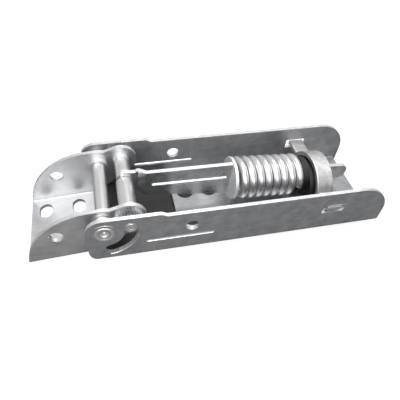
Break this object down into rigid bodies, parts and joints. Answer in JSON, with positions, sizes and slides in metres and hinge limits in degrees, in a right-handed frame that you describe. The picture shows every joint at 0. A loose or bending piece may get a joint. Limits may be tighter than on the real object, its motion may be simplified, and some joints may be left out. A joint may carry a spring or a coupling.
{
  "type": "chest freezer hinge",
  "caption": "Over-centre spring hinge for a chest freezer lid: channel leaf, pivoting lid bracket, crank pin, flat push strap and a caged compression spring.",
  "frame": {"origin": "middle of the pivot axis, half way between the two channel walls", "axes": "+X along the cabinet leaf towards its spring end, +Y along the pivot axis towards the far wall, +Z away from the cabinet, out of the channel's open side"},
  "size_m": [0.1692, 0.0534, 0.0314],
  "materials": {
    "galvanised_sheet": "zinc-plated pressed sheet, dull",
    "strap_steel": "zinc-plated strip, drawn edges",
    "plated_pins": "bright zinc-plated turned and rolled parts",
    "spring_wire": "zinc-plated spring wire",
    "carrier_steel": "light matte zinc",
    "black_nylon": "moulded nylon"
  },
  "bodies": {
    "channel": {"base_channel": "galvanised_sheet", "pivot_pin": "plated_pins", "pivot_tube": "plated_pins", "pivot_washer_near": "plated_pins", "pivot_washer_far": "plated_pins"},
    "lid_bracket": {"lid_bracket": "galvanised_sheet", "crank_pin": "plated_pins", "crank_sleeve_near": "plated_pins", "crank_sleeve_far": "plated_pins", "crank_spacer_near": "plated_pins", "crank_spacer_far": "plated_pins", "slot_bush_near": "plated_pins", "slot_bush_far": "plated_pins"},
    "push_strap": {"push_strap": "strap_steel", "spring_washer": "plated_pins", "coil_spring": "spring_wire"},
    "spring_seat": {"spring_seat": "black_nylon"},
    "spring_carrier": {"spring_carrier": "carrier_steel"}
  },
  "joints": [
    {"name": "lid_turn", "type": "hinge", "parent": "channel", "child": "lid_bracket", "pos_m": [0, 0, 0], "axis": [0, 1, 0], "range_deg": [0, 65]},
    {"name": "strap_tilt", "type": "hinge", "parent": "lid_bracket", "child": "push_strap", "pos_m": [0.01104, 0, 0.00191], "axis": [0, 1, 0], "range_deg": [-72.5, 0]},
    {"name": "seat_slide", "type": "slide", "parent": "push_strap", "child": "spring_seat", "axis": [0.9981, 0, -0.0614], "range_m": [0, 0.0047], "deforming": ["coil_spring"]},
    {"name": "carrier_rock", "type": "hinge", "parent": "channel", "child": "spring_carrier", "pos_m": [0.107, 0, -0.004], "axis": [0, 1, 0], "range_deg": [-7, 0]}
  ],
  "couplings": [
    {"joint": "strap_tilt", "follows": "lid_turn", "ratio": -1.1035},
    {"joint": "seat_slide", "follows": "lid_turn", "m_per_rad": 0.004052},
    {"joint": "carrier_rock", "follows": "lid_turn", "ratio": -0.1035}
  ]
}
